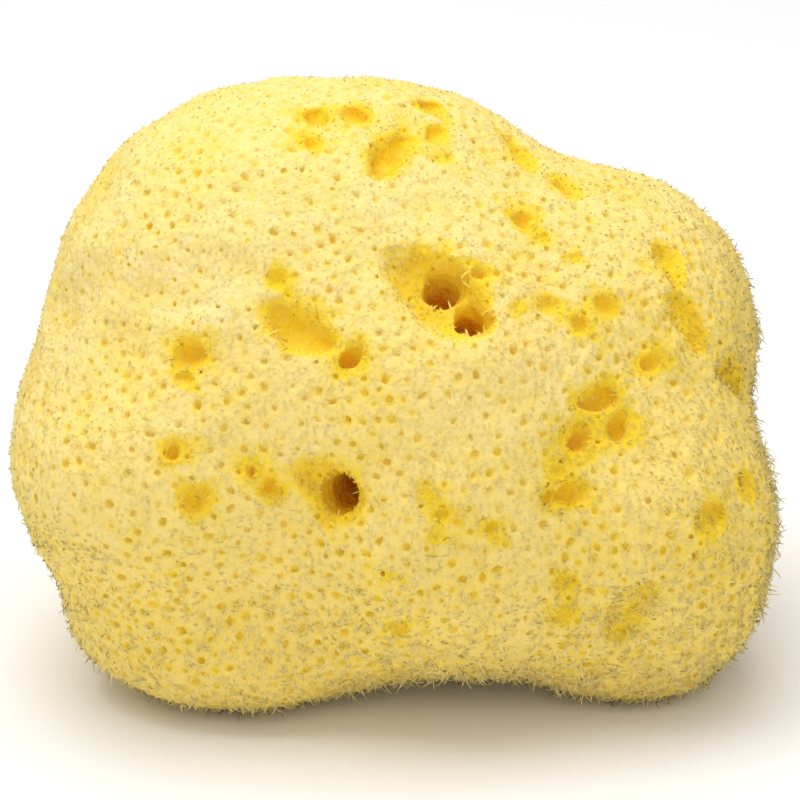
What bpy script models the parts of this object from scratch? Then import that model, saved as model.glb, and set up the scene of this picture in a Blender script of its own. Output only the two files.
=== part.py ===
"""A bleached natural bath sponge, grown in one piece: a low dome of fused lobes on three flat feet.

The body is one closed surface around a heart point. Its lobes are ellipsoids that melt into each
other, its skin rolls in soft lumps, and its water outlets (oscula), pits and creases are sunk into
it along slanting axes. X runs to the right, Y away from the front, Z up. The tables and helper
functions work in millimetres, and the finished mesh stands with the middle of its base on the origin.
"""

import math

import bmesh
import bpy
import numpy as np
from mathutils import Vector, geometry, noise

MM = 0.001

# Driving dimensions, in millimetres
HEART = np.array([0.0, 2.0, 40.0])
REACH = 110.0
MELT = 3.5
LUMPS = ((24.0, 1.5), (11.0, 0.8))

# How closely points cover the skin, and how closely they ring each pit
SKIN_SPACING = 3.45
COVER_DRAWS = 24000
RING_STEP = 1.3
RING_SPACING = 0.5
RING_MARGIN = 1.7
FEWEST_IN_RING = 5

# A pit's wall runs from its lip to its floor, both as shares of its half width
LIP = 1.12
FLOOR = 0.5
RAGGED = 0.07
NARROW = 2.0
NARROW_RINGS = (LIP, 0.8, FLOOR)
WIDE_RINGS = (LIP, 0.86, 0.66, 0.4)
FAR_OFF = 9.0

# Working values of the surface search, the pits' axes, the joining and the shading
BISECTIONS = 34
SLOPE_STEP = 0.5
NEARLY_UPRIGHT = 0.95
WELD = 1e-7
SHARP_DEGREES = 38.0

# Lobes: centre, then half widths along X, Y and Z
LOBES = {
    "heart": ((-2, 2, 48), (47, 42, 40)),
    "upper_left_dome": ((-24.3, 6, 62.5), (34.6, 36, 35.2)),
    "crown": ((-7, 12, 69.5), (36, 32, 29)),
    "lower_left_lobe": ((-35.5, -8, 40), (29.8, 33, 26.5)),
    "front_belly": ((8, -14, 33.5), (35, 31, 29)),
    "lower_right_lobe": ((41.5, -8, 30), (23.6, 30, 27)),
    "right_shoulder": ((29.2, 6, 54.5), (31.3, 30, 28.6)),
    "back_right_lobe": ((38.5, 23, 51), (22.5, 23, 27)),
    "back": ((-6, 22, 42), (44, 30, 38)),
    "left_foot": ((-26.3, -13.5, 13.5), (30.5, 23.5, 15.5)),
    "right_foot": ((38.5, -9, 12), (20.5, 22, 15)),
    "back_foot": ((2, 24, 13), (34, 22, 17)),
}

# Outlets, pits and creases of the front and top: a point near the mouth, the half widths, the turn
# of the longer one from level in degrees, the depth, and the floor's drift to the right and up
PITS = {
    "great_outlet": ((9.0, -25.6, 78.6), (3.0, 2.8), 80, 11.0, (0.5, -1.0)),
    "great_outlet_twin": ((13.2, -29.2, 73.5), (2.6, 2.4), 0, 11.0, (1.0, -0.5)),
    "great_dark": ((13.6, -23.4, 78.7), (1.2, 1.0), 0, 3.5, (0, 0)),
    "great_funnel": ((7.1, -27.7, 77.1), (10.2, 6.0), -50, 4.8, (0, 0)),
    "round_outlet": ((-9.4, -41.1, 46.3), (3.5, 2.5), 82, 13.0, (1.0, -1.5)),
    "round_funnel": ((-12.4, -40.3, 48.8), (5.4, 3.4), -40, 2.7, (0, 0)),
    "slot_end": ((-7.2, -35.4, 68.1), (2.1, 1.8), 0, 4.5, (0, -0.5)),
    "slot": ((-15.5, -32.1, 71.9), (7.0, 2.7), -26, 4.0, (0, -0.5)),
    "fork_top": ((32.9, -28.4, 58.4), (3.9, 1.9), 0, 3.6, (0, -0.6)),
    "fork_right": ((36.3, -29.3, 53.7), (2.8, 1.8), 66, 3.6, (0, 0)),
    "fork_left": ((29.8, -32.7, 52.9), (2.3, 1.7), 66, 4.0, (0, 0)),
    "fork_low_hole": ((25.1, -39.0, 45.2), (1.1, 0.9), 0, 3.2, (0, 0)),
    "fork_low": ((28.5, -37.3, 45.4), (2.7, 1.9), 0, 3.0, (0, 0)),
    "fork_middle": ((26.0, -36.7, 49.3), (1.5, 1.0), -10, 2.0, (0, 0)),
    "left_pit": ((-33.4, -31.2, 67.3), (3.0, 1.9), 42, 3.6, (0, -0.6)),
    "left_pit_tail": ((-34.0, -33.2, 63.8), (1.4, 0.8), -51, 2.0, (0, 0)),
    "left_slot": ((-35.5, -38.4, 53.2), (1.8, 1.0), 82, 2.8, (0, 0)),
    "left_low": ((-31.9, -40.8, 45.5), (2.8, 2.1), 60, 2.4, (0, 0)),
    "left_low_twin": ((-23.1, -39.7, 50.4), (1.4, 1.2), 0, 2.6, (0, 0)),
    "left_low_hole": ((-20.4, -40.0, 47.6), (1.7, 1.0), 76, 3.2, (0, 0)),
    "middle_left": ((-18.9, -27.5, 78.7), (1.4, 1.1), 0, 2.0, (0, 0)),
    "top_left": ((-13.1, -0.5, 97.8), (2.6, 2.0), 80, 2.6, (0, 0)),
    "top_middle": ((-6.7, 0.4, 98.3), (2.9, 2.3), -40, 2.6, (0, 0)),
    "top_speck": ((-13.8, -8.3, 95.3), (1.8, 0.8), 77, 2.0, (0, 0)),
    "top_slot": ((-0.8, -7.9, 94.1), (6.8, 2.1), 43, 4.0, (0, -0.6)),
    "top_right": ((7.1, 0.3, 94.9), (2.5, 1.5), 30, 2.4, (0, 0)),
    "top_right_back": ((6.4, 7.5, 97.1), (2.6, 2.3), 31, 2.4, (0, 0)),
    "top_shallow": ((7.7, -5.3, 92.4), (3.1, 1.2), -14, 1.0, (0, 0)),
    "seam_behind_crown": ((21.3, 7.0, 89.4), (4.8, 2.3), 37, 2.2, (0, 0)),
    "seam_shoulder": ((28.3, 1.4, 84.6), (3.4, 1.9), 78, 2.2, (0, 0)),
    "shoulder_pit": ((21.0, -11.1, 83.3), (2.3, 2.0), -56, 3.0, (0, -0.4)),
    "shoulder_tail": ((23.7, -12.6, 81.3), (1.7, 1.2), -12, 1.3, (0, 0)),
    "shoulder_dent": ((28.8, -14.3, 77.5), (2.5, 1.2), -12, 1.0, (0, 0)),
    "shoulder_hole": ((34.0, -19.5, 71.1), (2.0, 1.6), -9, 2.6, (0, 0)),
    "shoulder_hole_left": ((24.9, -22.5, 72.6), (1.5, 1.3), 0, 2.0, (0, 0)),
    "shoulder_hole_low": ((30.1, -23.2, 69.4), (1.7, 1.4), -8, 2.2, (0, 0)),
    "shoulder_hollow": ((19.7, -25.2, 73.2), (1.6, 1.3), 0, 1.0, (0, 0)),
    "right_slot": ((41.8, -21.2, 61.7), (2.3, 1.1), 7, 2.6, (0, 0)),
    "valley_top": ((44.9, -8.0, 74.4), (5.0, 2.4), 75, 2.6, (0, 0)),
    "valley_middle": ((48.3, -14.4, 66.6), (6.2, 2.4), -79, 2.6, (0, 0)),
    "valley_low": ((57.0, -10.3, 54.3), (7.6, 3.0), -35, 2.5, (0, 0)),
    "left_crease": ((-52.0, -12.0, 69.0), (11.0, 6.0), 48, 1.3, (0, 0)),
    "left_crease_inner": ((-33.0, -25.5, 77.6), (13.0, 6.5), 14, 1.2, (0, 0)),
    "right_low": ((51.2, -33.2, 39.4), (3.5, 2.5), 19, 2.4, (0, 0)),
    "right_low_edge": ((57.3, -25.0, 41.7), (2.6, 1.7), 90, 1.8, (0, 0)),
    "right_foot_hollow": ((38.1, -38.7, 23.7), (8.0, 3.3), 66, 2.2, (0, 0)),
    "pore_belly": ((7.2, -44.3, 45.1), (1.1, 1.1), 0, 1.7, (0, 0)),
    "pore_above": ((5.0, -43.3, 47.8), (1.1, 0.9), 0, 1.7, (0, 0)),
    "pore_below": ((6.6, -44.9, 41.4), (1.1, 0.9), 80, 1.7, (0, 0)),
    "pore_right": ((15.5, -43.1, 41.7), (1.4, 0.9), 77, 1.7, (0, 0)),
    "pore_left": ((-1.2, -45.0, 33.9), (0.9, 0.9), 0, 1.6, (0, 0)),
    "pore_low_right": ((27.5, -39.7, 24.1), (1.5, 1.0), 88, 1.8, (0, 0)),
    "pore_low_left": ((0.5, -42.5, 23.2), (1.8, 1.0), 68, 1.6, (0, 0)),
    "pore_fork": ((26.8, -40.9, 30.9), (1.4, 0.9), 82, 1.7, (0, 0)),
    "pore_funnel": ((3.9, -22.3, 82.1), (1.2, 1.0), 78, 1.7, (0, 0)),
    "pore_funnel_twin": ((8.3, -21.5, 81.8), (1.0, 0.9), 73, 1.7, (0, 0)),
}

# Outlets of the back, sides and underside, which are strewn evenly by a seeded draw
FRONT = np.array([0.0, -0.93, 0.37])
HIDDEN_COUNT = 26
HIDDEN_SEED = 11
HIDDEN_BEHIND = -4.0
HIDDEN_APART = 13.0
HIDDEN_LOWEST = 4.0
HIDDEN_HALF_WIDTH = (1.1, 3.6)


def clear_scene():
    for obj in list(bpy.data.objects):
        bpy.data.objects.remove(obj)


def unit(vectors):
    return vectors / np.linalg.norm(vectors, axis=-1, keepdims=True)


def body_field(points):
    """Negative inside the fused lobes, positive outside, roughly in millimetres."""
    total = np.zeros(len(points))
    for centre, radii in LOBES.values():
        scaled = (points - np.array(centre, float)) / np.array(radii, float)
        away = (np.linalg.norm(scaled, axis=1) - 1.0) * min(radii)
        total += np.exp(-np.clip(away, -60.0, 200.0) / MELT)
    return -MELT * np.log(total)


def skin_points(directions):
    """Where rays from the heart leave the fused lobes, with the soft lumps of the skin added."""
    near = np.zeros(len(directions))
    far = np.full(len(directions), REACH)
    for _ in range(BISECTIONS):
        middle = (near + far) / 2.0
        inside = body_field(HEART + directions * middle[:, None]) < 0.0
        near = np.where(inside, middle, near)
        far = np.where(inside, far, middle)
    for wavelength, height in LUMPS:
        ends = HEART + directions * near[:, None]
        near += [height * noise.noise(Vector(end) / wavelength) for end in ends]
    return HEART + directions * near[:, None]


def even_directions(count):
    """Directions spread evenly over a sphere, along a golden spiral."""
    steps = np.arange(count) + 0.5
    height = 1.0 - 2.0 * steps / count
    turn = steps * math.pi * (3.0 - math.sqrt(5.0))
    width = np.sqrt(1.0 - height**2)
    return np.stack([width * np.cos(turn), width * np.sin(turn), height], axis=1)


class Pit:
    """One outlet: its mouth on the skin, its own right, up and outward axes, and its size."""

    def __init__(self, near_mouth, half_widths, turn, depth, drift):
        self.mouth = skin_points(unit(np.array([near_mouth], float) - HEART))[0]
        nudges = np.eye(3) * SLOPE_STEP
        slope = body_field(self.mouth + nudges) - body_field(self.mouth - nudges)
        self.out = unit(slope)
        level = np.cross((0.0, 0.0, 1.0), self.out)
        if abs(self.out[2]) > NEARLY_UPRIGHT:
            level = np.array([1.0, 0.0, 0.0]) - self.out * self.out[0]
        level = unit(level)
        rise = np.cross(self.out, level)
        angle = math.radians(turn)
        self.along = level * math.cos(angle) + rise * math.sin(angle)
        self.across = np.cross(self.out, self.along)
        self.half_widths = half_widths
        self.depth = depth
        self.drift = level * drift[0] + rise * drift[1]

    def place(self, points):
        """How far out each point lies: 0 in the middle, 1 at the half width, more outside it."""
        offset = points - self.mouth
        along = offset @ self.along / self.half_widths[0]
        across = offset @ self.across / self.half_widths[1]
        ripple = 1.0 + RAGGED * np.sin(3.0 * np.arctan2(across, along) + self.mouth[0])
        near = np.abs(offset @ self.out) < max(self.half_widths)
        return np.where(near, np.hypot(along, across) * ripple, FAR_OFF)

    def sink(self, points):
        """How each point moves as the pit is pushed in."""
        share = np.clip((LIP - self.place(points)) / (LIP - FLOOR), 0.0, 1.0)
        share = share**2 * (3.0 - 2.0 * share)
        share = share[:, None]
        return -self.out * self.depth * share + self.drift * share**2

    def rings(self):
        """Skin points that the pit's lip, wall and floor need."""
        width = sum(self.half_widths) / 2.0
        points = [self.mouth]
        for share in WIDE_RINGS if width > NARROW else NARROW_RINGS:
            count = max(FEWEST_IN_RING, round(2.0 * math.pi * width * share / RING_STEP))
            for index in range(count):
                turn = 2.0 * math.pi * (index + 0.5 * share) / count
                along = self.along * self.half_widths[0] * math.cos(turn)
                across = self.across * self.half_widths[1] * math.sin(turn)
                points.append(self.mouth + (along + across) * share)
        return skin_points(unit(np.array(points) - HEART))


def hidden_pits():
    """Outlets where the front view doesn't reach, well apart from each other and from the front's."""
    rng = np.random.default_rng(HIDDEN_SEED)
    taken = [np.array(row[0]) for row in PITS.values()]
    pits = []
    while len(pits) < HIDDEN_COUNT:
        mouth = skin_points(unit(rng.normal(size=(1, 3))))[0]
        width = rng.uniform(*HIDDEN_HALF_WIDTH)
        shape, turn, steep = rng.uniform(0.6, 0.95), rng.uniform(0.0, 180.0), rng.uniform(1.1, 2.3)
        seen = (mouth - HEART) @ FRONT > HIDDEN_BEHIND
        crowded = min(np.linalg.norm(mouth - other) for other in taken) < HIDDEN_APART
        if seen or crowded or mouth[2] < HIDDEN_LOWEST:
            continue
        taken.append(mouth)
        pits.append(Pit(mouth, (width, width * shape), turn, width * steep, (0.0, 0.0)))
    return pits


def spread(pits):
    """Skin points for the whole sponge: the one under the heart, every pit's rings, and an even
    cover between them."""
    kept = skin_points(np.array([[0.0, 0.0, -1.0]]))
    for pit in pits:
        for point in pit.rings():
            if np.linalg.norm(kept - point, axis=1).min() > RING_SPACING:
                kept = np.vstack([kept, point])
    cover = skin_points(even_directions(COVER_DRAWS))
    for point in kept:
        cover = cover[np.linalg.norm(cover - point, axis=1) > RING_MARGIN]
    grown = []
    while len(cover):
        grown.append(cover[0])
        cover = cover[np.linalg.norm(cover - cover[0], axis=1) > SKIN_SPACING]
    return np.vstack([kept, grown])


def joined(directions):
    """Triangles between neighbouring directions. Seen from the first direction, which points straight
    down, the others lie in a plane, where Delaunay cells join them. A fan closes the outermost ring."""
    x, y, z = directions[1:].T
    flat = [Vector(pair) for pair in zip(x / (1.0 + z), y / (1.0 + z))]
    cells = geometry.delaunay_2d_cdt(flat, [], [], 0, WELD)
    order = [sources[0] + 1 for sources in cells[3]]
    faces = [tuple(order[corner] for corner in cell) for cell in cells[2]]
    sides = {(face[k - 1], face[k]) for face in faces for k in range(3)}
    fan = [(end, start, 0) for start, end in sides if (end, start) not in sides]
    return faces + sorted(fan)


def sponge_mesh():
    pits = [Pit(*row) for row in PITS.values()] + hidden_pits()
    skin = spread(pits)
    sunk = skin.copy()
    for pit in pits:
        sunk += pit.sink(skin)
    sunk[:, 2] = np.maximum(sunk[:, 2], 0.0)
    low, high = sunk.min(axis=0), sunk.max(axis=0)
    sunk -= ((low[0] + high[0]) / 2.0, (low[1] + high[1]) / 2.0, 0.0)

    bm = bmesh.new()
    verts = [bm.verts.new(Vector(point) * MM) for point in sunk]
    for face in joined(unit(skin - HEART)):
        bm.faces.new([verts[corner] for corner in face])
    bmesh.ops.recalc_face_normals(bm, faces=bm.faces)
    mesh = bpy.data.meshes.new("sponge")
    bm.to_mesh(mesh)
    bm.free()
    mesh.shade_smooth()
    mesh.set_sharp_from_angle(angle=math.radians(SHARP_DEGREES))
    return mesh


def bleached_skin():
    """Pale golden spongin: matt, with no metal in it."""
    material = bpy.data.materials.new("bleached_sponge")
    material.use_nodes = True
    shader = material.node_tree.nodes["Principled BSDF"]
    shader.inputs["Base Color"].default_value = (0.83, 0.62, 0.18, 1.0)
    shader.inputs["Roughness"].default_value = 0.92
    shader.inputs["Metallic"].default_value = 0.0
    return material


def main():
    clear_scene()
    sponge = bpy.data.objects.new("sponge", sponge_mesh())
    sponge.data.materials.append(bleached_skin())
    bpy.context.scene.collection.objects.link(sponge)


if __name__ == "__main__":
    main()
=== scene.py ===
import math
from itertools import product

import bmesh
import bpy
import numpy as np
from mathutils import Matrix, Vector, noise
from mathutils.bvhtree import BVHTree


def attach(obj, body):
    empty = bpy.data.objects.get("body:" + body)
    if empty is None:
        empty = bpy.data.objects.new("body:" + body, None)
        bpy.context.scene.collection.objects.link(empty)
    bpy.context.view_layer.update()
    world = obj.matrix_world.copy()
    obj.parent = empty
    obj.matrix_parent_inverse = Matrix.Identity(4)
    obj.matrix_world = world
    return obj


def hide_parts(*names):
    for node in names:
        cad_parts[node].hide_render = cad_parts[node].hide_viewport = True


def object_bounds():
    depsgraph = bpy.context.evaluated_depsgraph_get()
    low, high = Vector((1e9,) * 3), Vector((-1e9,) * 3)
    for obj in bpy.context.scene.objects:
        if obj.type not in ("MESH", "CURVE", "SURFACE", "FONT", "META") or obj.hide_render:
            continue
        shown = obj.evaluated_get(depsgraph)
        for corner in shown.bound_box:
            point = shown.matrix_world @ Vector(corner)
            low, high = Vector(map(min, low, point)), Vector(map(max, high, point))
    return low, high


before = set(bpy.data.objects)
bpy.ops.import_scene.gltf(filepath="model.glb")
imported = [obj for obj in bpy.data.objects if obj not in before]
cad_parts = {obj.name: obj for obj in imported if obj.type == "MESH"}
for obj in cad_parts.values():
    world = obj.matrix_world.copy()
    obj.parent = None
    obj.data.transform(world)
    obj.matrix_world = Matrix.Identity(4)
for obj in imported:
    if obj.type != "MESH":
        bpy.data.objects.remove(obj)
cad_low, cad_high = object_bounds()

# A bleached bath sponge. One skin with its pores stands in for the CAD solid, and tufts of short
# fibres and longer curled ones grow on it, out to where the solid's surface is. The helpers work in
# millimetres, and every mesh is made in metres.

MM = 0.001
TINY = 1e-9
NODE = "sponge"

# The photograph's view
VIEW_ELEVATION = 22.0
VIEW_DISTANCE = 0.62
VIEW_WIDTH = 0.136
VIEW_TARGET = Vector((0.0007, -0.0033, 0.0466))
SENSOR = 36.0
CLIP_START = 0.05

# The studio: the lights with their places and sizes in metres and their power in watts
WORLD_STRENGTH = 0.5
FLOOR_SIZE = 6.0
FLOOR_COLOUR = (0.93, 0.93, 0.93, 1.0)
LIGHT_TARGET = Vector((0.0, 0.0, 0.04))
LIGHTS = (
    ("key", (-0.15, 0.05, 1.0), 0.9, 8.2),
    ("fill", (0.1, -1.1, 0.7), 1.2, 3.0),
)

# How much of the sky over a point the sponge hides: rays, with their reach and start in millimetres. The
# colours paint shade by it, and the halo spreads it round the pits.
HOLLOW_RAYS = 150
HOLLOW_REACH = 13.0
HOLLOW_START = 0.25
HOLLOW_LEAST_SLOPE = 0.1
HOLLOW_BLUR = 2
HALO_BLUR = 9
HALO_STRENGTH = 1.25

# How wild the fibres are: the fall with height, the rise to the right, and patches of noise
WILD_FALL = 1.15
WILD_RIGHT = 0.35
WILD_PATCHES = 0.25
WILD_WAVE = 13.0
WILD_OFFSET = 9.0

# The skin, in millimetres. Lumps and warps are wavelengths with heights or widths.
WELD = 0.02
SKIN_INSET = (0.4, 1.0)
SKIN_CUTS = 2
SKIN_SMOOTHING = 7
SKIN_LUMPS = ((9.0, 0.4), (4.0, 0.3), (1.9, 0.14))
WARPS = ((3.6, 0.8), (2.1, 0.3))
WARP_OFFSETS = (2.0, 12.0, 22.0)
PITTED = (0.06, 0.3)
PIT_CALM = 0.4
# Painted shade in the dips between the lumps: the range over which it grows, and its share
DIP_RANGE = (-0.1, 0.35)
DIP_SHARE = 0.7
FLOOR_GAP = 0.12

# Pores, in millimetres. A ring is its share of the radius, how far it is sunk, and its tone of painted
# shade, which deepens from the edge to the floor.
PORE_SEED = 5
PORE_SPACING = (1.9, 3.0)
PORE_CROWDING = (0.5, 0.6)
PORE_WAVE = 14.0
PORE_OFFSET = 3.0
PORE_RADIUS = (0.4, 0.95)
PORE_DEPTH = (0.35, 0.95)
PORE_SIZES = (1.7, 2.2)
PORE_MOST_HOLLOW = 0.45
PORE_LEAST_HEIGHT = 1.5
PORE_REACH = (0.5, 2.2)
PORE_MOST_SIDES = 8
PORE_LEAST_SIDES = 4
PORE_FILL = 0.8
PORE_STRETCH = 0.35
PORE_UPWARD = Vector((0.0, 0.0, 1.5))
PORE_TILT = 0.25
PORE_EDGE_SHADE = 0.2
PORE_RIM = (1.0, 0.08, 0.6)
PORE_FLOOR_SHARE = 0.55
PORE_FLOOR_SHADE = 1.0
PORE_CELL = 2.0
FAR = 9.0

# How strong a pore's painted shade is: its middle, what patches, calm skin and size do to it, and its
# least
PORE_STRENGTH = 0.62
PORE_BY_PATCH = 0.5
PORE_BY_CALM = 0.35
PORE_BY_SIZE = 0.4
PORE_LEAST_STRENGTH = 0.15

# Tufts of short fibres, in millimetres
TUFT_SEED = 8
TUFT_DRAWS = 150000
TUFT_SPACING = (0.85, 1.1)
TUFT_PORE_GAP = 0.3
TUFT_MOST_HOLLOW = 0.42
TUFT_SIDES = 5
TUFT_ROOT = (0.3, 0.48)
TUFT_SUNK = 0.12
CONE_SHARE = 0.6
TUFT_LENGTH = (0.75, 1.7)
TUFT_LENGTH_STRAY = (0.8, 1.2)
TUFT_LENGTH_PATCHES = 0.4
TUFT_LENGTH_WAVE = 2.6
TUFT_LENGTH_OFFSET = 5.0
TUFT_UPRIGHT = (0.3, 0.6)
STANDING_SHARE = 0.1
STANDING_UPRIGHT = 0.95
TUFT_PIECES = ("fibres_left_front", "fibres_right_front", "fibres_right_back", "fibres_left_back")
QUARTERS = (0.25, 0.5, 0.75)

# Which way the tufts lean: noise, then down, into the pits, and off the pores within a reach
LEAN_WAVE = 4.5
LEAN_OFFSETS = (1.0, 17.0, 31.0)
LEAN_STRAY = 0.25
LEAN_DOWN = 0.25
LEAN_TO_PIT = 3.0
LEAN_PORE_REACH = 0.7
LEAN_OFF_PORE = 0.9

# The fibres of a tuft, in millimetres. The fray is a base and what wildness adds to it.
TUFT_FIBRES = (1, 4)
FIBRE_SIDES = 3
FIBRE_RADIUS = (0.03, 0.055)
FIBRE_STRAY = (0.8, 1.25)
FIBRE_SUNK = 0.1
FIBRE_SCATTER_ROOT = 0.22
FIBRE_SCATTER_TIP = 0.15
FIBRE_FRAY = (0.1, 0.14)
LOWEST_ROOT = 0.15
LOWEST_TIP = 0.02
SPIKE_ROUND = 0.25
TONE_SPREAD = 0.8
STEEP = 0.8

# Long curled fibres, in millimetres
CURL_SEED = 21
CURL_DRAWS = 144000
CURL_COUNT = 12000
CURL_LENGTH = (1.5, 3.6)
CURL_CALM_LENGTH = 0.4
CURL_RADIUS = (0.09, 0.15)
CURL_TAPER = 0.5
CURL_RINGS = 3
CURL_SIDES = 3
CURL_START = 0.5
CURL_TURN = (0.6, 2.4)
CURL_HANG = np.array([0.0, 0.0, -0.5])
CURL_SUNK = 0.2
CURL_TIPS = (0.2, 1.0)

# Where they grow: everywhere a little, on wild skin, and where the skin turns into a pit
CURL_ANYWHERE = 0.02
CURL_AT_RIM = 0.4
CURL_RIM_HOLLOW = 0.2
CURL_RIM_SPREAD = 0.12
CURL_MOST_HOLLOW = 0.5
CURL_PORE_GAP = 0.1

# The strands that hang over the mouths, in millimetres
STRAND_LEAST = 4
STRAND_BY_WIDTH = 2
STRAND_RING = (0.95, 1.3)
STRAND_ABOVE = 8.0
STRAND_RAY = 20.0
STRAND_SWAY = 0.45
STRAND_RISE = 0.7
STRAND_DROP = 0.3
STRAND_SUNK = 0.2
STRAND_TURN = (0.8, 2.2)
STRAND_LENGTH = (0.3, 0.75)
STRAND_GIRTH = 1.9
# The fixed hollow of the strands, which paints them with the gold shade of the pits
STRAND_HOLLOW = 0.2

# The mouths that they hang over: place and half width, in millimetres
MOUTHS = (
    ((8.4, -26.2, 75.2), 3.2),
    ((12.8, -31.0, 71.6), 2.8),
    ((-9.4, -44.0, 46.3), 3.2),
    ((-15.5, -35.0, 71.9), 4.0),
    ((-7.2, -38.3, 68.1), 2.4),
    ((32.9, -31.3, 58.4), 3.0),
    ((36.3, -32.2, 53.7), 2.6),
    ((28.5, -40.2, 45.4), 2.8),
    ((-33.4, -34.1, 67.3), 3.0),
)
HEART = Vector((0.0, -1.0, 40.0))

# Linear colours, from the pale tips down to the painted shade at the bottom of the deep outlets. Gold,
# amber and brown are painted shade in the hollows; gold is also painted shade in the dips and a random
# tone in broad patches, and the pore shade is painted shade in the pores.
CREAM = (0.96, 0.84, 0.48)
PALE = (0.95, 0.775, 0.33)
YELLOW = (0.94, 0.71, 0.16)
GOLD = (0.95, 0.65, 0.03)
AMBER_SHADE = (0.93, 0.52, 0.014)
BROWN_SHADE = (0.85, 0.35, 0.006)
PORE_SHADE = (0.97, 0.68, 0.035)

# Scales of the noise in the materials, in cycles a metre
FINE_SCALE = 1500.0
KNOB_SCALE = 520.0
PATCH_SCALE = 330.0
BROAD_SCALE = 60.0
PATCH_SHIFT = 0.07


def unit(vectors):
    return vectors / np.maximum(np.linalg.norm(vectors, axis=-1, keepdims=True), TINY)


def between(ends, share):
    """From the first end to the second as the share goes from 0 to 1."""
    return ends[0] + (ends[1] - ends[0]) * share


def cloud(points, wavelength, offset=0.0):
    """Smooth noise from about -1 to 1 at each point."""
    shift = Vector((offset, offset * 0.7, -offset))
    return np.array([noise.noise(Vector(point) / wavelength + shift) for point in points])


def clouds(points, wavelength, offsets):
    return np.stack([cloud(points, wavelength, offset) for offset in offsets], axis=1)


def smoothstep(values, low, high):
    share = np.clip((values - low) / (high - low), 0.0, 1.0)
    return share * share * (3.0 - 2.0 * share)


def even_directions(count):
    """Directions spread evenly over a sphere, along a golden spiral."""
    steps = np.arange(count) + 0.5
    height = 1.0 - 2.0 * steps / count
    turn = steps * math.pi * (3.0 - math.sqrt(5.0))
    width = np.sqrt(1.0 - height**2)
    return np.stack([width * np.cos(turn), width * np.sin(turn), height], axis=1)


def cells_near(cell):
    """A cell of a grid and the 26 round it."""
    return product(*((step - 1, step, step + 1) for step in cell))


def wildness(points):
    """How long and loose the fibres are: 0 on the smooth upper left, 1 along the foot and the right."""
    height = points[:, 2] * MM / cad_high[2]
    right = points[:, 0] * MM / cad_high[0]
    patches = cloud(points, WILD_WAVE, WILD_OFFSET)
    wild = 1.0 - WILD_FALL * height + WILD_RIGHT * right * np.abs(right) + WILD_PATCHES * patches
    return np.clip(wild, 0.0, 1.0)


def hide_sky(bm):
    """Stores at each vertex how much of its sky the sponge itself hides, from 0 to 1."""
    tree = BVHTree.FromBMesh(bm)
    layer = bm.verts.layers.float.new("hollow")
    ways = [Vector(way) for way in even_directions(HOLLOW_RAYS)]
    reach = HOLLOW_REACH * MM
    for vert in bm.verts:
        start = vert.co + vert.normal * HOLLOW_START * MM
        hidden, whole = 0.0, 0.0
        for way in ways:
            slope = way.dot(vert.normal)
            if slope < HOLLOW_LEAST_SLOPE:
                continue
            whole += slope
            distance = tree.ray_cast(start, way, reach)[3]
            if distance is not None:
                hidden += slope * (1.0 - (distance / reach) ** 2)
        vert[layer] = hidden / whole


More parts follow.
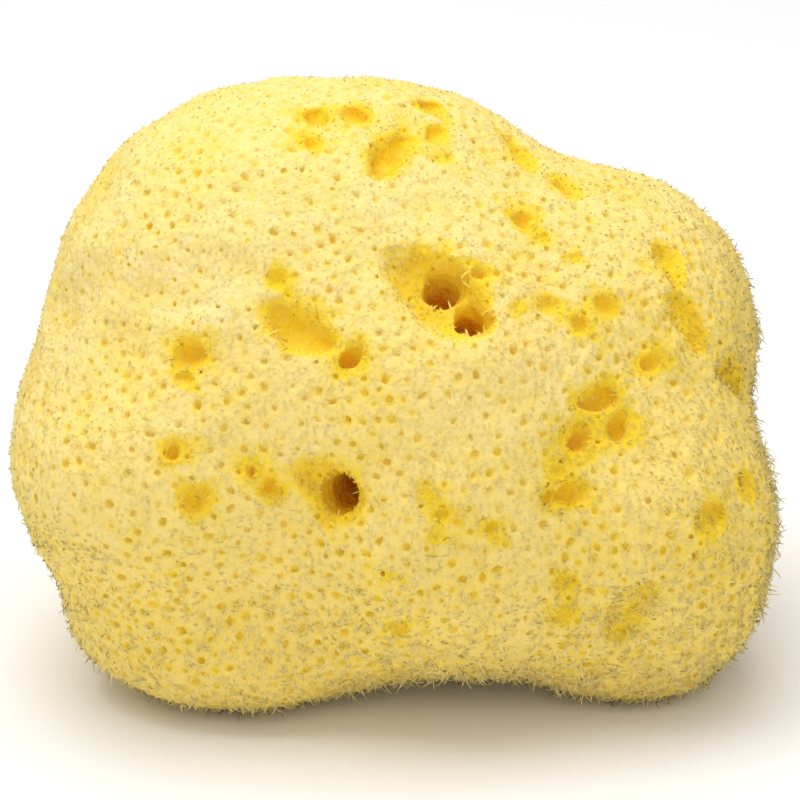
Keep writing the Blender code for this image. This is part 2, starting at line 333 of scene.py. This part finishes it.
class Skin:
    """The sponge's surface, as a bmesh and as arrays in millimetres."""

    def __init__(self):
        self.bm = self.refined()
        self.edges = np.array([[vert.index for vert in edge.verts] for edge in self.bm.edges])
        layer = self.bm.verts.layers.float["hollow"]
        self.hollow = np.array([vert[layer] for vert in self.bm.verts])
        self.read()
        self.hollow = self.blurred(self.hollow, HOLLOW_BLUR, 0.5)
        self.wild = wildness(self.points)
        self.shape()
        self.read()
        self.find_pull()

    def refined(self):
        """The solid's mesh as one smooth surface, with how hollow each place is."""
        bm = bmesh.new()
        bm.from_mesh(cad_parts[NODE].data)
        bmesh.ops.remove_doubles(bm, verts=bm.verts, dist=WELD * MM)
        bm.normal_update()
        hide_sky(bm)
        bmesh.ops.subdivide_edges(bm, edges=bm.edges, cuts=SKIN_CUTS, use_grid_fill=True)
        for _ in range(SKIN_SMOOTHING):
            bmesh.ops.smooth_vert(
                bm, verts=bm.verts, factor=0.5, use_axis_x=True, use_axis_y=True, use_axis_z=True
            )
        bm.normal_update()
        bm.verts.index_update()
        return bm

    def shape(self):
        """Draws the skin in, makes it lumpy and its pits uneven, and stores how hollow and low it is, for
        painted shade; that shade is also golder where the fibres are wild.
        """
        lumps = sum(height * cloud(self.points, wavelength) for wavelength, height in SKIN_LUMPS)
        pitted = smoothstep(self.hollow, *PITTED)
        lift = (lumps - between(SKIN_INSET, self.wild)) * (1.0 - PIT_CALM * pitted)
        points = self.points + self.normals * lift[:, None]
        for wavelength, width in WARPS:
            points += clouds(self.points, wavelength, WARP_OFFSETS) * (width * pitted)[:, None]
        points[:, 2] = np.maximum(points[:, 2], FLOOR_GAP)
        # The halo spreads how hollow it is round the pits, and with it their painted shade
        halo = self.blurred(self.hollow, HALO_BLUR, 1.0)
        self.hollow = np.maximum(self.hollow, halo * HALO_STRENGTH)
        # Painted shade in the dips between the lumps, taken as the larger of it and the wildness, so it
        # is golder along the foot and the right
        self.dip = smoothstep(-lumps, *DIP_RANGE)
        dip_shade_and_wild = np.maximum(self.dip * DIP_SHARE, self.wild)
        dip_layer = self.bm.verts.layers.float.new("dip")
        hollow_layer = self.bm.verts.layers.float["hollow"]
        for vert, point, hollow, dip in zip(self.bm.verts, points, self.hollow, dip_shade_and_wild):
            vert.co = Vector(point) * MM
            vert[hollow_layer] = hollow
            vert[dip_layer] = dip
        self.bm.normal_update()

    def find_pull(self):
        """The way towards the nearest hollow at each vertex, longer where it is close."""
        step = self.points[self.edges[:, 1]] - self.points[self.edges[:, 0]]
        rise = self.hollow[self.edges[:, 1]] - self.hollow[self.edges[:, 0]]
        rise = rise / (step**2).sum(axis=1)
        self.pull = np.zeros_like(self.points)
        for side in (0, 1):
            np.add.at(self.pull, self.edges[:, side], step * rise[:, None])

    def blurred(self, values, rounds, share):
        """The values, brought by a share towards the mean of their neighbours in each round."""
        for _ in range(rounds):
            total, count = np.zeros(len(values)), np.zeros(len(values))
            for near, far in ((0, 1), (1, 0)):
                np.add.at(total, self.edges[:, near], values[self.edges[:, far]])
                np.add.at(count, self.edges[:, near], 1.0)
            values = (1.0 - share) * values + share * (total / np.maximum(count, 1.0))
        return values

    def read(self):
        self.points = np.array([vert.co for vert in self.bm.verts]) / MM
        self.normals = np.array([vert.normal for vert in self.bm.verts])
        self.faces = np.array([[vert.index for vert in face.verts] for face in self.bm.faces])

    def sample(self, count, rng):
        """Random places all over the surface."""
        corners = self.points[self.faces]
        area = np.linalg.norm(
            np.cross(corners[:, 1] - corners[:, 0], corners[:, 2] - corners[:, 0]), axis=1
        )
        chosen = self.faces[rng.choice(len(self.faces), count, p=area / area.sum())]
        first, second = rng.random((2, count))
        fold = first + second > 1.0
        first, second = np.where(fold, 1.0 - first, first), np.where(fold, 1.0 - second, second)
        shares = np.stack([1.0 - first - second, first, second], axis=1)
        points, normals, pull = (
            np.einsum("nkd,nk->nd", field[chosen], shares)
            for field in (self.points, self.normals, self.pull)
        )
        values = [
            np.einsum("nk,nk->n", field[chosen], shares)
            for field in (self.hollow, self.wild, self.dip)
        ]
        return Places(points, unit(normals), pull, *values)


class Places:
    """Places on the skin: points, normals, pull towards the nearest hollow, hollow, wildness and dip."""

    def __init__(self, *fields):
        self.fields = fields
        self.points, self.normals, self.pull, self.hollow, self.wild, self.dip = fields

    def __len__(self):
        return len(self.points)

    def only(self, rows):
        return Places(*[field[rows] for field in self.fields])

    def along(self, vectors):
        """The vectors with what points along the normals taken out."""
        return vectors - self.normals * (vectors * self.normals).sum(axis=1)[:, None]


class Crowd:
    """Points kept apart, found quickly by the cell of a grid that each lies in."""

    def __init__(self, size):
        self.size = size
        self.cells = {}

    def cell(self, point):
        return tuple(int(math.floor(value / self.size)) for value in point)

    def clear(self, point, spacing):
        px, py, pz = point
        limit = spacing * spacing
        for cell in cells_near(self.cell(point)):
            for x, y, z in self.cells.get(cell, ()):
                if (x - px) ** 2 + (y - py) ** 2 + (z - pz) ** 2 < limit:
                    return False
        return True

    def add(self, point):
        self.cells.setdefault(self.cell(point), []).append(tuple(point))


def ring_around(vert):
    """The vertices round a vertex in order, or None where they make no plain ring."""
    step = {}
    for face in vert.link_faces:
        corners = list(face.verts)
        at = corners.index(vert)
        step[corners[at - 2]] = corners[at - 1]
    if not PORE_LEAST_SIDES <= len(step) <= PORE_MOST_SIDES:
        return None
    loop = [next(iter(step))]
    while len(loop) < len(step):
        following = step.get(loop[-1])
        if following is None:
            return None
        loop.append(following)
    return loop


def pore_strength(patch, wild, size):
    strength = PORE_STRENGTH + PORE_BY_PATCH * patch - PORE_BY_CALM * (1.0 - wild) + PORE_BY_SIZE * size
    return min(max(strength, PORE_LEAST_STRENGTH), 1.0)


def sink_pore(bm, vert, loop, centre, normal, rays, size, strength, rng):
    """Puts two rings and a floor in place of a vertex, and returns the pore's radius."""
    layers = [bm.verts.layers.float[name] for name in ("hollow", "dip", "pore")]
    radius = min(between(PORE_RADIUS, size), min(ray.length for ray in rays) * PORE_FILL)
    long_way = Vector(rng.normal(size=3)) + PORE_UPWARD
    long_way = (long_way - normal * long_way.dot(normal)).normalized()
    stretch = rng.uniform(0.0, PORE_STRETCH)
    tilt = Vector(rng.normal(size=3)) * PORE_TILT
    hollow, dip = vert[layers[0]], vert[layers[1]]
    # Painted shade of the pore: a little on the ring round it, more on the rim, most on the floor
    for other in loop:
        other[layers[2]] = max(other[layers[2]], PORE_EDGE_SHADE * strength)
    bm.verts.remove(vert)
    rings = [loop]
    floor = (PORE_FLOOR_SHARE, between(PORE_DEPTH, size), PORE_FLOOR_SHADE)
    for share, sink, tone in (PORE_RIM, floor):
        ring = []
        for ray in rays:
            way = (ray - normal * ray.dot(normal)).normalized()
            wide = 1.0 + stretch * (2.0 * way.dot(long_way) ** 2 - 1.0)
            spot = centre + way * radius * share * wide - normal * sink + tilt * sink
            spot.z = max(spot.z, FLOOR_GAP)
            fresh = bm.verts.new(spot * MM)
            for layer, value in zip(layers, (hollow, dip, tone * strength)):
                fresh[layer] = value
            ring.append(fresh)
        rings.append(ring)
    for outer, inner in zip(rings, rings[1:]):
        for k in range(len(loop)):
            a, b, c, d = outer[k - 1], outer[k], inner[k], inner[k - 1]
            bm.faces.new((a, b, c))
            bm.faces.new((a, c, d))
    bm.faces.new(rings[-1])
    return radius


def open_pores(skin):
    """Sinks pores into the skin and returns their centres and radii."""
    rng = np.random.default_rng(PORE_SEED)
    order = rng.permutation(len(skin.points))
    coarse = cloud(skin.points, PORE_WAVE, PORE_OFFSET)
    crowd = Crowd(PORE_SPACING[1])
    # The pores' painted shade at each vertex
    skin.bm.verts.layers.float.new("pore")
    verts = skin.bm.verts[:]
    centres, radii = [], []
    used = set()
    for index in order:
        point = skin.points[index]
        if skin.hollow[index] > PORE_MOST_HOLLOW or point[2] < PORE_LEAST_HEIGHT:
            continue
        spacing = between(PORE_SPACING, PORE_CROWDING[0] - PORE_CROWDING[1] * coarse[index])
        if not crowd.clear(point, spacing):
            continue
        vert = verts[index]
        loop = None if vert in used else ring_around(vert)
        if loop is None:
            continue
        centre, normal = Vector(point), Vector(skin.normals[index])
        rays = [Vector(skin.points[other.index]) - centre for other in loop]
        if not PORE_REACH[0] < min(ray.length for ray in rays) < PORE_REACH[1]:
            continue
        crowd.add(point)
        used.update(loop)
        size = rng.beta(*PORE_SIZES)
        strength = pore_strength(coarse[index], skin.wild[index], size)
        radii.append(sink_pore(skin.bm, vert, loop, centre, normal, rays, size, strength, rng))
        centres.append(centre)
    return np.array(centres), np.array(radii)


def pore_lean(points, centres, radii):
    """For each point, the way out of the nearest pore and how far off its rim is."""
    grid = {}
    for number, cell in enumerate((centres // PORE_CELL).astype(int)):
        grid.setdefault(tuple(cell), []).append(number)
    away = np.zeros_like(points)
    gap = np.full(len(points), FAR)
    for row, home in enumerate((points // PORE_CELL).astype(int)):
        for cell in cells_near(home):
            for number in grid.get(cell, ()):
                offset = points[row] - centres[number]
                distance = math.sqrt(offset @ offset)
                if distance - radii[number] < gap[row]:
                    gap[row] = distance - radii[number]
                    away[row] = offset / max(distance, TINY)
    return away, gap


def spikes(roots, tips, radii, twist, outward, sides):
    """Closed spikes that stand on the skin and are shaded like it, with how far up each point is."""
    count = len(roots)
    upward = np.abs(outward[:, 2:]) > STEEP
    side = unit(np.cross(outward, np.where(upward, [[1.0, 0.0, 0.0]], [[0.0, 0.0, 1.0]])))
    other = np.cross(outward, side)
    verts = np.empty((count, sides + 1, 3))
    normals = np.empty((count, sides + 1, 3))
    for k in range(sides):
        turn = twist + 2.0 * math.pi * k / sides
        spoke = side * np.cos(turn)[:, None] + other * np.sin(turn)[:, None]
        verts[:, k] = roots + spoke * radii[:, None]
        normals[:, k] = unit(outward + spoke * SPIKE_ROUND)
    verts[:, sides] = tips
    normals[:, sides] = outward
    pattern = [(k, (k + 1) % sides, sides) for k in range(sides)]
    pattern += [(0, k + 1, k) for k in range(1, sides - 1)]
    faces = (np.arange(count) * (sides + 1))[:, None, None] + np.array(pattern)
    up = np.tile(np.append(np.zeros(sides), 1.0), count)
    return verts.reshape(-1, 3), faces.reshape(-1, 3), normals.reshape(-1, 3), up


def make_mesh(name, verts, faces, normals, attributes):
    """A mesh object from arrays in millimetres, with its own normals and float attributes."""
    verts[:, 2] = np.maximum(verts[:, 2], 0.0)
    mesh = bpy.data.meshes.new(name)
    mesh.vertices.add(len(verts))
    mesh.vertices.foreach_set("co", (verts * MM).astype(np.float32).ravel())
    mesh.loops.add(faces.size)
    mesh.loops.foreach_set("vertex_index", faces.astype(np.int32).ravel())
    mesh.polygons.add(len(faces))
    mesh.polygons.foreach_set("loop_start", np.arange(0, faces.size, 3, dtype=np.int32))
    mesh.update(calc_edges=True)
    mesh.validate()
    for key, values in attributes.items():
        layer = mesh.attributes.new(key, "FLOAT", "POINT")
        layer.data.foreach_set("value", np.asarray(values, np.float32))
    mesh.shade_smooth()
    mesh.normals_split_custom_set_from_vertices(normals)
    obj = bpy.data.objects.new(name, mesh)
    bpy.context.scene.collection.objects.link(obj)
    return obj


def tuft_spots(skin, centres, radii, rng):
    """Places for tufts, kept apart and clear of the pores and pits, with the way off the nearest pore."""
    spots = skin.sample(TUFT_DRAWS, rng)
    crowd = Crowd(TUFT_SPACING[1])
    kept = []
    for row, (point, wild) in enumerate(zip(spots.points, spots.wild)):
        if crowd.clear(point, between(TUFT_SPACING, wild)):
            crowd.add(point)
            kept.append(row)
    spots = spots.only(kept)
    away, gap = pore_lean(spots.points, centres, radii)
    kept = (gap > TUFT_PORE_GAP) & (spots.hollow < TUFT_MOST_HOLLOW)
    return spots.only(kept), away[kept], gap[kept]


def tuft_strides(spots, away, gap, rng):
    """Each tuft's way from its root to its tip."""
    count = len(spots)
    lean = clouds(spots.points, LEAN_WAVE, LEAN_OFFSETS) + rng.normal(size=(count, 3)) * LEAN_STRAY
    lean[:, 2] -= LEAN_DOWN
    strength = np.linalg.norm(spots.pull, axis=1, keepdims=True) * LEAN_TO_PIT
    lean += spots.pull * LEAN_TO_PIT / (1.0 + strength)
    off_pore = np.clip(LEAN_PORE_REACH - gap, 0.0, LEAN_PORE_REACH) * LEAN_OFF_PORE
    lean = unit(spots.along(lean) + spots.along(away) * off_pore[:, None])
    standing = rng.random(count) < STANDING_SHARE
    upright = np.where(standing, STANDING_UPRIGHT, rng.uniform(*TUFT_UPRIGHT, count))
    slant = np.sqrt(1.0 - upright**2)
    patches = 1.0 + TUFT_LENGTH_PATCHES * cloud(spots.points, TUFT_LENGTH_WAVE, TUFT_LENGTH_OFFSET)
    reach = between(TUFT_LENGTH, spots.wild) * (patches * rng.uniform(*TUFT_LENGTH_STRAY, count))
    return (spots.normals * upright[:, None] + lean * slant[:, None]) * reach[:, None]


def grow_tufts(skin, centres, radii):
    """Short fibres in tufts that lean together, as four pieces that share the sponge out by bearing."""
    rng = np.random.default_rng(TUFT_SEED)
    spots, away, gap = tuft_spots(skin, centres, radii, rng)
    stride = tuft_strides(spots, away, gap, rng)
    count = len(spots)
    girth = rng.uniform(*TUFT_ROOT, count)
    owner = np.repeat(np.arange(count), rng.integers(*TUFT_FIBRES, count))
    total = len(owner)
    each = spots.only(owner)
    scatter = each.along(rng.normal(size=(total, 3)))
    fray = rng.normal(size=(total, 3)) * (FIBRE_FRAY[0] + FIBRE_FRAY[1] * each.wild)[:, None]
    roots = each.points + scatter * FIBRE_SCATTER_ROOT - each.normals * FIBRE_SUNK
    reach = stride[owner] * rng.uniform(*FIBRE_STRAY, total)[:, None]
    tips = each.points + reach + scatter * FIBRE_SCATTER_TIP + fray
    cone_roots = spots.points - spots.normals * TUFT_SUNK
    cone_tips = spots.points + stride * CONE_SHARE
    kinds = (
        (TUFT_SIDES, np.arange(count), cone_roots, cone_tips, girth),
        (FIBRE_SIDES, owner, roots, tips, rng.uniform(*FIBRE_RADIUS, total)),
    )
    tone = rng.normal(size=count) * TONE_SPREAD
    bearing = np.arctan2(spots.points[:, 1], spots.points[:, 0])
    quarter = np.searchsorted(np.quantile(bearing, QUARTERS), bearing)
    pieces = []
    for number, name in enumerate(TUFT_PIECES):
        made, fields, start = [], [], 0
        for sides, tuft, starts, ends, widths in kinds:
            mine = np.flatnonzero(quarter[tuft] == number)
            home = tuft[mine]
            twist = rng.uniform(0.0, 2.0 * math.pi, len(mine))
            starts, ends = starts[mine].copy(), ends[mine].copy()
            starts[:, 2] = np.maximum(starts[:, 2], LOWEST_ROOT)
            ends[:, 2] = np.maximum(ends[:, 2], LOWEST_TIP)
            verts, faces, normals, up = spikes(
                starts, ends, widths[mine], twist, spots.normals[home], sides
            )
            made.append((verts, faces + start, normals))
            own = [np.repeat(field[home], sides + 1) for field in (tone, spots.hollow, spots.dip)]
            fields.append([up, *own])
            start += len(verts)
        verts, faces, normals = (np.concatenate(arrays) for arrays in zip(*made))
        values = [np.concatenate(arrays) for arrays in zip(*fields)]
        attributes = dict(zip(("tip", "tone", "hollow", "dip"), values))
        pieces.append(make_mesh(name, verts, faces, normals, attributes))
    return pieces


def bent_fibres(starts, first, second, curl, length, radius, outward):
    """Closed three-sided fibres that turn from their first heading towards their second."""
    count = len(starts)
    size = CURL_RINGS * CURL_SIDES + 1
    verts = np.empty((count, size, 3))
    normals = np.empty((count, size, 3))
    spot = starts.copy()
    side = unit(np.cross(first, second))
    for ring in range(CURL_RINGS + 1):
        turn = curl * ring / CURL_RINGS
        heading = first * np.cos(turn)[:, None] + second * np.sin(turn)[:, None]
        if ring:
            spot = spot + heading * (length / CURL_RINGS)[:, None]
        if ring == CURL_RINGS:
            verts[:, -1] = spot
            normals[:, -1] = outward
            break
        lift = np.cross(heading, side)
        width = radius * (1.0 - CURL_TAPER * ring / CURL_RINGS)
        for k in range(CURL_SIDES):
            angle = 2.0 * math.pi * k / CURL_SIDES
            spoke = side * math.cos(angle) + lift * math.sin(angle)
            verts[:, ring * CURL_SIDES + k] = spot + spoke * width[:, None]
            normals[:, ring * CURL_SIDES + k] = unit(outward + spoke * SPIKE_ROUND)
    pattern = [(2, 1, 0)]
    for low in range(0, (CURL_RINGS - 1) * CURL_SIDES, CURL_SIDES):
        for k in range(CURL_SIDES):
            a, b = low + k, low + (k + 1) % CURL_SIDES
            pattern += [(a, b, b + CURL_SIDES), (a, b + CURL_SIDES, a + CURL_SIDES)]
    last = (CURL_RINGS - 1) * CURL_SIDES
    pattern += [(last + k, last + (k + 1) % CURL_SIDES, size - 1) for k in range(CURL_SIDES)]
    faces = (np.arange(count) * size)[:, None, None] + np.array(pattern)
    return verts.reshape(-1, 3), faces.reshape(-1, 3), normals.reshape(-1, 3)


def mouth_strands(skin, rng):
    """Starts, two headings, turns, lengths and shading normals of the strands over the mouths."""
    tree = BVHTree.FromPolygons([Vector(point) for point in skin.points], skin.faces.tolist())
    rows = []
    for place, half in MOUTHS:
        centre = Vector(place)
        axis = (centre - HEART).normalized()
        across = axis.orthogonal().normalized()
        other = axis.cross(across)
        for _ in range(int(STRAND_LEAST + STRAND_BY_WIDTH * half)):
            angle = rng.uniform(0.0, 2.0 * math.pi)
            spoke = across * math.cos(angle) + other * math.sin(angle)
            above = centre + spoke * half * rng.uniform(*STRAND_RING) + axis * STRAND_ABOVE
            hit, normal, _, _ = tree.ray_cast(above, -axis, STRAND_RAY)
            if hit is None:
                continue
            sway = Vector(rng.normal(size=3)) * STRAND_SWAY
            first = (normal * STRAND_RISE - spoke * STRAND_RISE + sway).normalized()
            second = (-spoke + sway - axis * STRAND_DROP).normalized()
            second = (second - first * second.dot(first)).normalized()
            turn, length = rng.uniform(*STRAND_TURN), rng.uniform(*STRAND_LENGTH) * half
            rows.append((hit - normal * STRAND_SUNK, first, second, turn, length, axis))
    return [np.array(column) for column in zip(*rows)]


def grow_curls(skin, centres, radii):
    """Longer curled fibres, most of them along the foot, on the right and over the mouths."""
    rng = np.random.default_rng(CURL_SEED)
    spots = skin.sample(CURL_DRAWS, rng)
    rim = np.exp(-((spots.hollow - CURL_RIM_HOLLOW) / CURL_RIM_SPREAD) ** 2)
    _, gap = pore_lean(spots.points, centres, radii)
    wish = CURL_ANYWHERE + spots.wild**2 + CURL_AT_RIM * rim
    wish = wish * (spots.hollow < CURL_MOST_HOLLOW) * (gap > CURL_PORE_GAP)
    spots = spots.only(rng.choice(len(spots), CURL_COUNT, replace=False, p=wish / wish.sum()))
    count = len(spots)
    way = unit(spots.along(rng.normal(size=(count, 3)) + CURL_HANG * spots.wild[:, None]))
    start = rng.uniform(0.0, CURL_START, count)[:, None]
    first = spots.normals * np.cos(start) + way * np.sin(start)
    second = way * np.cos(start) - spots.normals * np.sin(start)
    length = rng.uniform(*CURL_LENGTH, count) * between((CURL_CALM_LENGTH, 1.0), spots.wild)
    strands = mouth_strands(skin, rng)
    roots = spots.points - spots.normals * CURL_SUNK
    grown = (roots, first, second, rng.uniform(*CURL_TURN, count), length, spots.normals)
    starts, first, second, curl, length, outward = map(np.concatenate, zip(grown, strands))
    total = len(starts)
    # How hollow each fibre is, for its painted shade; the strands over the mouths take a fixed one
    hollow = np.append(spots.hollow, np.full(total - count, STRAND_HOLLOW))
    radius = rng.uniform(*CURL_RADIUS, total)
    radius[count:] *= STRAND_GIRTH
    verts, faces, normals = bent_fibres(starts, first, second, curl, length, radius, outward)
    size = CURL_RINGS * CURL_SIDES + 1
    up = np.append(np.repeat(np.arange(CURL_RINGS) / CURL_RINGS, CURL_SIDES), 1.0)
    return make_mesh("fibres_curled", verts, faces, normals, {
        "tip": between(CURL_TIPS, np.tile(up, total)),
        "tone": np.repeat(rng.normal(size=total) * TONE_SPREAD, size),
        "hollow": np.repeat(hollow, size),
        "dip": np.zeros(total * size),
    })


def new_material(name, roughness):
    material = bpy.data.materials.new(name)
    material.use_nodes = True
    shader = material.node_tree.nodes["Principled BSDF"]
    shader.inputs["Roughness"].default_value = roughness
    shader.inputs["Specular IOR Level"].default_value = 0.1
    return material, material.node_tree, shader


def add(tree, kind, inputs=None, **settings):
    """A node with its settings, and its inputs set to values or joined to other sockets."""
    node = tree.nodes.new(kind)
    for key, value in settings.items():
        setattr(node, key, value)
    for key, value in (inputs or {}).items():
        if isinstance(value, bpy.types.NodeSocket):
            tree.links.new(value, node.inputs[key])
        else:
            node.inputs[key].default_value = (*value, 1.0) if isinstance(value, tuple) else value
    return node


def ramp(tree, factor, stops):
    node = add(tree, "ShaderNodeValToRGB", {"Fac": factor})
    elements = node.color_ramp.elements
    while len(elements) < len(stops):
        elements.new(0.5)
    for element, (place, colour) in zip(elements, stops):
        element.position = place
        element.color = (*colour, 1.0)
    return node.outputs["Color"]


def mixed(tree, share, first, second):
    """The first colour, with a share of the second."""
    return add(tree, "ShaderNodeMix", {0: share, 6: first, 7: second}, data_type="RGBA").outputs[2]


def attribute(tree, name):
    return add(tree, "ShaderNodeAttribute", attribute_name=name).outputs["Fac"]


def ranged(tree, value, low, high, to_low, to_high):
    inputs = {"Value": value, "From Min": low, "From Max": high, "To Min": to_low, "To Max": to_high}
    return add(tree, "ShaderNodeMapRange", inputs).outputs["Result"]


def speckle(tree, scale, detail=2.0):
    """Noise over the object's own coordinates."""
    place = add(tree, "ShaderNodeTexCoord").outputs["Object"]
    inputs = {"Vector": place, "Scale": scale, "Detail": detail}
    return add(tree, "ShaderNodeTexNoise", inputs).outputs["Fac"]


def hollow_shade(tree, pale):
    """Painted shade by how hollow the place is: pale outside, gold inside, brown at the bottom, moved a
    little by noise patches.
    """
    shift = ranged(tree, speckle(tree, PATCH_SCALE), 0.3, 0.7, -PATCH_SHIFT, PATCH_SHIFT)
    inputs = {0: attribute(tree, "hollow"), 1: shift}
    depth = add(tree, "ShaderNodeMath", inputs, operation="ADD").outputs[0]
    return ramp(tree, depth, (
        (0.0, pale), (0.04, pale), (0.1, YELLOW), (0.2, GOLD), (0.68, GOLD), (0.84, AMBER_SHADE), (0.97, BROWN_SHADE),
    ))


def skin_material():
    """Pale lumps, painted shade in the dips and pores, and golden pits whose painted shade turns brown at
    the bottom, with a rough fine surface. The dips are also golder where the fibres are wild.
    """
    material, tree, shader = new_material("spongin_skin", 0.95)
    knobs = speckle(tree, KNOB_SCALE)
    # Painted shade in the hollows: gold inside, brown at the bottom of deep ones
    colour = hollow_shade(tree, PALE)
    colour = mixed(tree, ranged(tree, knobs, 0.45, 0.65, 0.0, 0.4), colour, YELLOW)
    # Painted shade in the dips, golder where the fibres are wild
    colour = mixed(tree, ranged(tree, attribute(tree, "dip"), 0.0, 1.0, 0.0, 0.5), colour, GOLD)
    colour = mixed(tree, ranged(tree, speckle(tree, BROAD_SCALE), 0.4, 0.75, 0.0, 0.2), colour, GOLD)
    # Painted shade in the pores, deepest on their floors
    colour = mixed(tree, ranged(tree, attribute(tree, "pore"), 0.0, 1.0, 0.0, 0.95), colour, PORE_SHADE)
    tree.links.new(colour, shader.inputs["Base Color"])
    fine = speckle(tree, FINE_SCALE, 3.0)
    bump = add(tree, "ShaderNodeBump", {"Strength": 0.4, "Distance": 0.0002, "Height": fine})
    bump = add(tree, "ShaderNodeBump", {
        "Strength": 0.8, "Distance": 0.0012, "Height": knobs, "Normal": bump.outputs["Normal"],
    })
    tree.links.new(bump.outputs["Normal"], shader.inputs["Normal"])
    return material


def fibre_material():
    """Golden at the roots and cream at the tips, with painted shade: less cream and gold to brown in the
    hollows, and golder in the dips.
    """
    material, tree, shader = new_material("spongin_fibre", 0.9)
    # Painted shade: the tips turn less cream and more gold in the hollows
    outside = ranged(tree, attribute(tree, "hollow"), 0.03, 0.24, 0.8, 0.1)
    inputs = {0: attribute(tree, "tip"), 1: outside}
    paleness = add(tree, "ShaderNodeMath", inputs, operation="MULTIPLY").outputs[0]
    colour = mixed(tree, paleness, hollow_shade(tree, YELLOW), CREAM)
    colour = mixed(tree, ranged(tree, attribute(tree, "tone"), -1.6, 1.6, 0.0, 0.4), colour, YELLOW)
    # Painted shade from the dips that the tufts grow in
    colour = mixed(tree, ranged(tree, attribute(tree, "dip"), 0.0, 1.0, 0.0, 0.2), colour, GOLD)
    tree.links.new(colour, shader.inputs["Base Color"])
    return material


def floor_and_light():
    scene = bpy.context.scene
    world = bpy.data.worlds.new("studio")
    scene.world = world
    world.use_nodes = True
    world.node_tree.nodes["Background"].inputs["Color"].default_value = (1.0, 1.0, 1.0, 1.0)
    world.node_tree.nodes["Background"].inputs["Strength"].default_value = WORLD_STRENGTH
    bpy.ops.mesh.primitive_plane_add(size=FLOOR_SIZE)
    floor = bpy.context.active_object
    floor.name = "floor"
    material, _, shader = new_material("pale_floor", 0.9)
    shader.inputs["Base Color"].default_value = FLOOR_COLOUR
    floor.data.materials.append(material)
    for name, place, size, power in LIGHTS:
        light = bpy.data.lights.new(name, "AREA")
        light.energy = power
        light.size = size
        lamp = bpy.data.objects.new(name, light)
        lamp.location = place
        lamp.rotation_euler = (LIGHT_TARGET - lamp.location).to_track_quat("-Z", "Y").to_euler()
        scene.collection.objects.link(lamp)


def make_camera():
    tilt = math.radians(VIEW_ELEVATION)
    back = Vector((0.0, -math.cos(tilt), math.sin(tilt)))
    camera = bpy.data.cameras.new("camera")
    camera.sensor_width = SENSOR
    camera.lens = SENSOR * VIEW_DISTANCE / VIEW_WIDTH
    camera.clip_start = CLIP_START
    eye = bpy.data.objects.new("camera", camera)
    eye.location = VIEW_TARGET + back * VIEW_DISTANCE
    eye.rotation_euler = (-back).to_track_quat("-Z", "Y").to_euler()
    bpy.context.scene.collection.objects.link(eye)
    bpy.context.scene.camera = eye


def skin_piece(skin):
    bmesh.ops.triangulate(skin.bm, faces=skin.bm.faces)
    mesh = bpy.data.meshes.new("sponge_skin")
    skin.bm.to_mesh(mesh)
    mesh.shade_smooth()
    piece = bpy.data.objects.new("sponge_skin", mesh)
    bpy.context.scene.collection.objects.link(piece)
    return piece


def dress():
    """Makes the skin and the fibres, and puts them in the solid's place."""
    skin = Skin()
    centres, radii = open_pores(skin)
    body = skin_piece(skin)
    body.data.materials.append(skin_material())
    fibres = [*grow_tufts(skin, centres, radii), grow_curls(skin, centres, radii)]
    coat = fibre_material()
    for piece in fibres:
        piece.data.materials.append(coat)
    for piece in [body, *fibres]:
        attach(piece, "root")
        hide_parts(NODE)


bpy.context.scene.view_settings.view_transform = "Standard"
floor_and_light()
make_camera()
dress()
